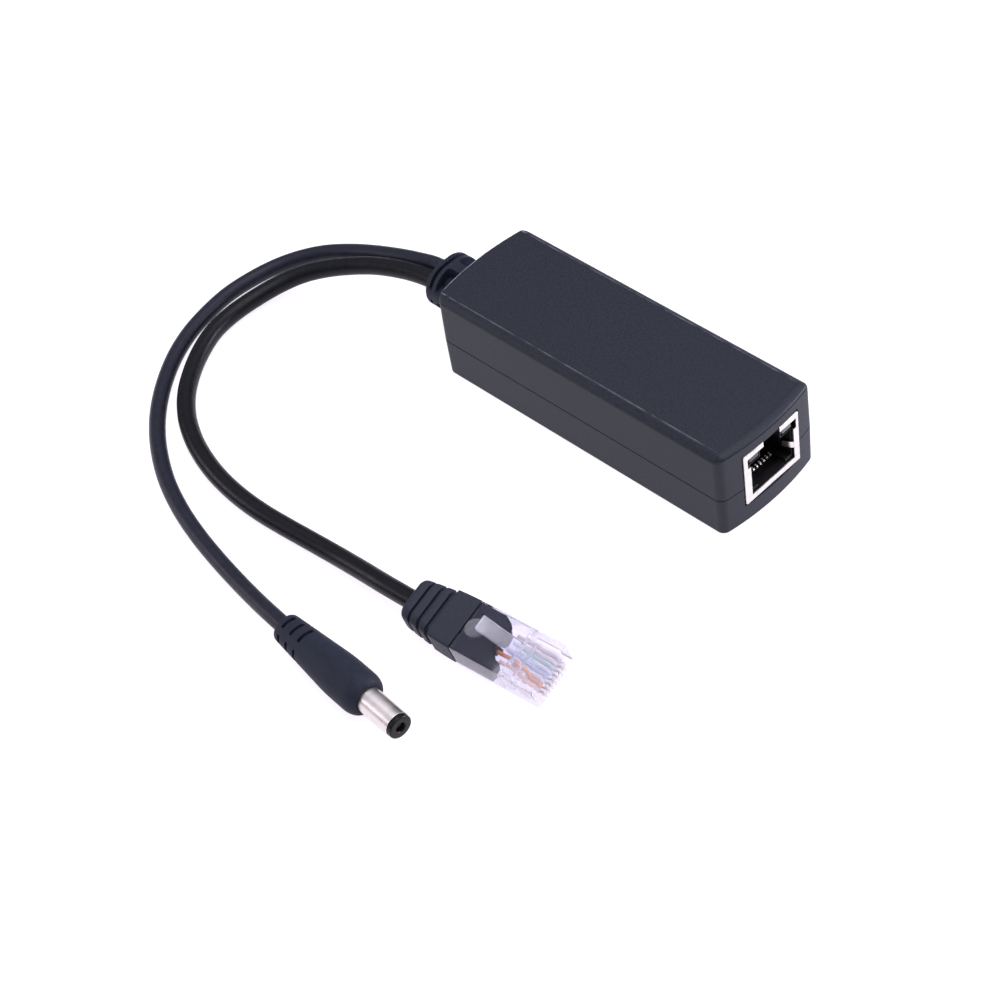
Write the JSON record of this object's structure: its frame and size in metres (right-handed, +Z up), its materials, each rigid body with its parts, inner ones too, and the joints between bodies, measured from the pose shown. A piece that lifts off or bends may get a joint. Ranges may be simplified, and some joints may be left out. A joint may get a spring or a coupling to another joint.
{
  "type": "poe splitter",
  "caption": "Compact black inline power over ethernet splitter with a shielded RJ45 socket at one end and, at the other, twin cables to a clear RJ45 plug and a round DC barrel plug.",
  "frame": {"origin": "Centre of the underside of the housing, on the surface it stands on. The cords, the strain relief and what hangs on the cords are left out of the frame.", "axes": "+X runs along the housing towards the RJ45 socket, -X is the end that the two cables leave from, +Z is up. +Y is to the left when looking along +X."},
  "size_m": [0.1374, 0.1081, 0.0215],
  "materials": {
    "shell": "fine matte moulding grain, blue-grey black ABS",
    "jack_metal": "bright tin plate, folded sheet",
    "jack_plastic": "black glass-filled nylon",
    "gold_contact": "gold plated spring wire and stamped blades",
    "lens": "clear light pipe",
    "cable_jacket": "soft black PVC, slightly satin",
    "plug_clear": "clear moulded polycarbonate",
    "dc_metal": "nickel plated brass",
    "dc_plastic": "black, slightly glossy",
    "board": "green solder mask",
    "component_black": "black epoxy moulding compound",
    "ferrite": "dark grey sintered ferrite",
    "winding": "yellow polyester tape over copper wire",
    "can": "dark sleeve over an aluminium can",
    "data_lead": "insulated copper conductors",
    "wire_1": "white with orange stripe insulation",
    "wire_2": "orange insulation",
    "wire_3": "white with green stripe insulation",
    "wire_4": "blue insulation",
    "wire_5": "white with blue stripe insulation",
    "wire_6": "green insulation",
    "wire_7": "white with brown stripe insulation",
    "wire_8": "brown insulation"
  },
  "bodies": {
    "root": {"upper_shell": "shell", "lower_shell": "shell", "jack_shield": "jack_metal", "jack_insert": "jack_plastic", "jack_contact_1": "gold_contact", "jack_contact_2": "gold_contact", "jack_contact_3": "gold_contact", "jack_contact_4": "gold_contact", "jack_contact_5": "gold_contact", "jack_contact_6": "gold_contact", "jack_contact_7": "gold_contact", "jack_contact_8": "gold_contact", "plug_contact_1": "gold_contact", "plug_contact_2": "gold_contact", "plug_contact_3": "gold_contact", "plug_contact_4": "gold_contact", "plug_contact_5": "gold_contact", "plug_contact_6": "gold_contact", "plug_contact_7": "gold_contact", "plug_contact_8": "gold_contact", "led_lens_left": "lens", "led_lens_right": "lens", "cable_boot": "cable_jacket", "data_cable": "cable_jacket", "dc_cable": "cable_jacket", "plug_boot": "cable_jacket", "dc_handle": "cable_jacket", "dc_lead_positive": "cable_jacket", "dc_lead_negative": "cable_jacket", "plug_body": "plug_clear", "dc_barrel": "dc_metal", "dc_center_contact": "dc_metal", "dc_insulator": "dc_plastic", "circuit_board": "board", "lan_transformer": "component_black", "bridge_rectifier_a": "component_black", "bridge_rectifier_b": "component_black", "controller_chip": "component_black", "output_diode": "component_black", "transformer_core": "ferrite", "transformer_winding": "winding", "input_capacitor": "can", "output_capacitor": "can", "data_lead_1": "data_lead", "data_lead_2": "data_lead", "data_lead_3": "data_lead", "data_lead_4": "data_lead", "data_lead_5": "data_lead", "data_lead_6": "data_lead", "data_lead_7": "data_lead", "data_lead_8": "data_lead", "plug_wire_1": "wire_1", "plug_wire_2": "wire_2", "plug_wire_3": "wire_3", "plug_wire_4": "wire_4", "plug_wire_5": "wire_5", "plug_wire_6": "wire_6", "plug_wire_7": "wire_7", "plug_wire_8": "wire_8"}
  },
  "joints": []
}
